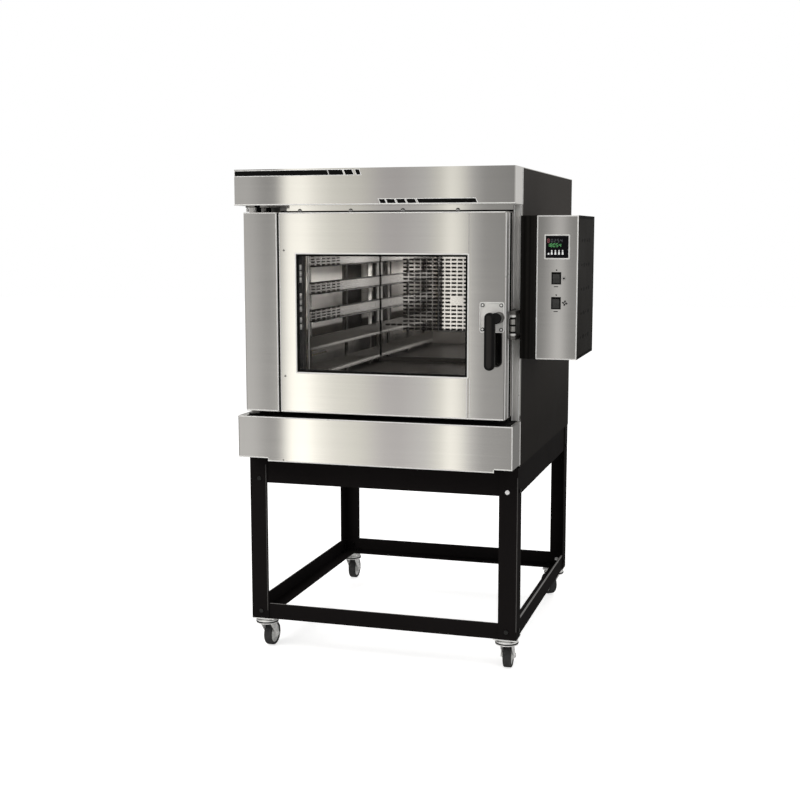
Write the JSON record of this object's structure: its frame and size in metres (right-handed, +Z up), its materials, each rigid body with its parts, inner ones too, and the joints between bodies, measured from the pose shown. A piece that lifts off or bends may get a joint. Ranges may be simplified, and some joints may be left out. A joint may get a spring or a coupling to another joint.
{
  "type": "convection oven",
  "caption": "Bakery convection oven with glazed swing door, lever latch and tray racks, a side control box, and an angle-steel stand on swivel casters.",
  "frame": {"origin": "on the floor, at the centre of the overall width and depth with the door shut", "axes": "+Z up; +X to the right and +Y from the front to the back, seen from the door side"},
  "size_m": [1.0786, 1.15, 1.589],
  "materials": {
    "stainless": "satin",
    "liner_steel": "satin",
    "cabinet_paint": "satin",
    "box_paint": "satin",
    "stand_paint": "satin",
    "zinc": "satin",
    "galvanised": "satin",
    "bolt_steel": "satin",
    "chrome": "polished",
    "hinge_steel": "satin",
    "handle_metal": "satin",
    "wheel_rubber": "matte",
    "gasket_rubber": "matte",
    "mineral_wool": "matte",
    "motor_paint": "matte",
    "element_sheath": "matte",
    "lamp_glass": "gloss",
    "window_glass": "gloss",
    "black_plastic": "satin",
    "rocker_plastic": "gloss"
  },
  "bodies": {
    "oven": {"stand_leg_front_left": "stand_paint", "stand_leg_front_right": "stand_paint", "stand_leg_rear_left": "stand_paint", "stand_leg_rear_right": "stand_paint", "stand_upper_cross_rails": "stand_paint", "stand_upper_side_rails": "stand_paint", "stand_lower_cross_rails": "stand_paint", "stand_lower_side_rails": "stand_paint", "stand_bolts": "bolt_steel", "caster_plates": "zinc", "base_pan": "galvanised", "left_side_panel": "cabinet_paint", "right_side_panel": "cabinet_paint", "rear_panel": "cabinet_paint", "top_panel": "stainless", "front_frame": "stainless", "hood": "stainless", "lower_fascia": "stainless", "cavity_floor": "liner_steel", "cavity_roof": "liner_steel", "cavity_left_wall": "liner_steel", "cavity_right_wall": "liner_steel", "cavity_back_wall": "liner_steel", "insulation": "mineral_wool", "air_baffle": "liner_steel", "fan_motor": "motor_paint", "heating_element": "element_sheath", "oven_lamp": "lamp_glass", "left_tray_rack": "liner_steel", "right_tray_rack": "liner_steel", "door_gasket": "gasket_rubber", "hinge_brackets": "hinge_steel", "latch_keeper": "stainless", "control_box": "box_paint", "control_front_plate": "stainless", "display_module": "black_plastic", "switch_housings": "black_plastic", "cable_gland": "black_plastic"},
    "door": {"door_core": "mineral_wool", "door_inserts": "galvanised", "hinge_column_cover": "stainless", "door_skin": "stainless", "latch_stile_cover": "stainless", "door_inner_panel": "liner_steel", "window_panes": "window_glass", "handle_plate": "stainless"},
    "handle": {"handle_lever": "handle_metal", "latch_tongue": "chrome"},
    "rocker_upper": {"upper_rocker": "rocker_plastic"},
    "rocker_lower": {"lower_rocker": "rocker_plastic"},
    "fan": {"fan_impeller": "liner_steel"},
    "roller": {"keeper_roller": "chrome"},
    "caster_front_left": {"caster_fork_front_left": "zinc"},
    "wheel_front_left": {"caster_wheel_front_left": "wheel_rubber"},
    "caster_front_right": {"caster_fork_front_right": "zinc"},
    "wheel_front_right": {"caster_wheel_front_right": "wheel_rubber"},
    "caster_rear_left": {"caster_fork_rear_left": "zinc"},
    "wheel_rear_left": {"caster_wheel_rear_left": "wheel_rubber"},
    "caster_rear_right": {"caster_fork_rear_right": "zinc"},
    "wheel_rear_right": {"caster_wheel_rear_right": "wheel_rubber"}
  },
  "joints": [
    {"name": "door_hinge", "type": "hinge", "parent": "oven", "child": "door", "pos_m": [-0.46375, -0.47, 1.141], "axis": [0, 0, -1], "range_deg": [0, 110]},
    {"name": "handle_turn", "type": "hinge", "parent": "door", "child": "handle", "pos_m": [0.31925, -0.511, 1.14], "axis": [0, 1, 0], "range_deg": [0, 90]},
    {"name": "rocker_upper_tilt", "type": "hinge", "parent": "oven", "child": "rocker_upper", "pos_m": [0.47475, -0.423, 1.2555], "axis": [-1, 0, 0], "range_deg": [0, 16]},
    {"name": "rocker_lower_tilt", "type": "hinge", "parent": "oven", "child": "rocker_lower", "pos_m": [0.47475, -0.423, 1.1805], "axis": [-1, 0, 0], "range_deg": [0, 16]},
    {"name": "fan_spin", "type": "hinge", "parent": "oven", "child": "fan", "pos_m": [-0.03575, 0.4505, 1.142], "axis": [0, 1, 0], "continuous": true},
    {"name": "keeper_roller_spin", "type": "hinge", "parent": "oven", "child": "roller", "pos_m": [0.35325, -0.479, 1.14], "axis": [0, 0, 1], "continuous": true},
    {"name": "caster_front_left_swivel", "type": "hinge", "parent": "oven", "child": "caster_front_left", "pos_m": [-0.49775, -0.387, 0.112], "axis": [0, 0, 1], "continuous": true},
    {"name": "wheel_front_left_spin", "type": "hinge", "parent": "caster_front_left", "child": "wheel_front_left", "pos_m": [-0.49587, -0.35105, 0.04], "axis": [-0.9986, 0.0523, 0], "continuous": true},
    {"name": "caster_front_right_swivel", "type": "hinge", "parent": "oven", "child": "caster_front_right", "pos_m": [0.32625, -0.387, 0.112], "axis": [0, 0, 1], "continuous": true},
    {"name": "wheel_front_right_spin", "type": "hinge", "parent": "caster_front_right", "child": "wheel_front_right", "pos_m": [0.32437, -0.35105, 0.04], "axis": [-0.9986, -0.0523, 0], "continuous": true},
    {"name": "caster_rear_left_swivel", "type": "hinge", "parent": "oven", "child": "caster_rear_left", "pos_m": [-0.49775, 0.499, 0.112], "axis": [0, 0, 1], "continuous": true},
    {"name": "wheel_rear_left_spin", "type": "hinge", "parent": "caster_rear_left", "child": "wheel_rear_left", "pos_m": [-0.49775, 0.535, 0.04], "axis": [-1, 0, 0], "continuous": true},
    {"name": "caster_rear_right_swivel", "type": "hinge", "parent": "oven", "child": "caster_rear_right", "pos_m": [0.32625, 0.499, 0.112], "axis": [0, 0, 1], "continuous": true},
    {"name": "wheel_rear_right_spin", "type": "hinge", "parent": "caster_rear_right", "child": "wheel_rear_right", "pos_m": [0.30311, 0.52658, 0.04], "axis": [-0.766, -0.6428, 0], "continuous": true}
  ]
}
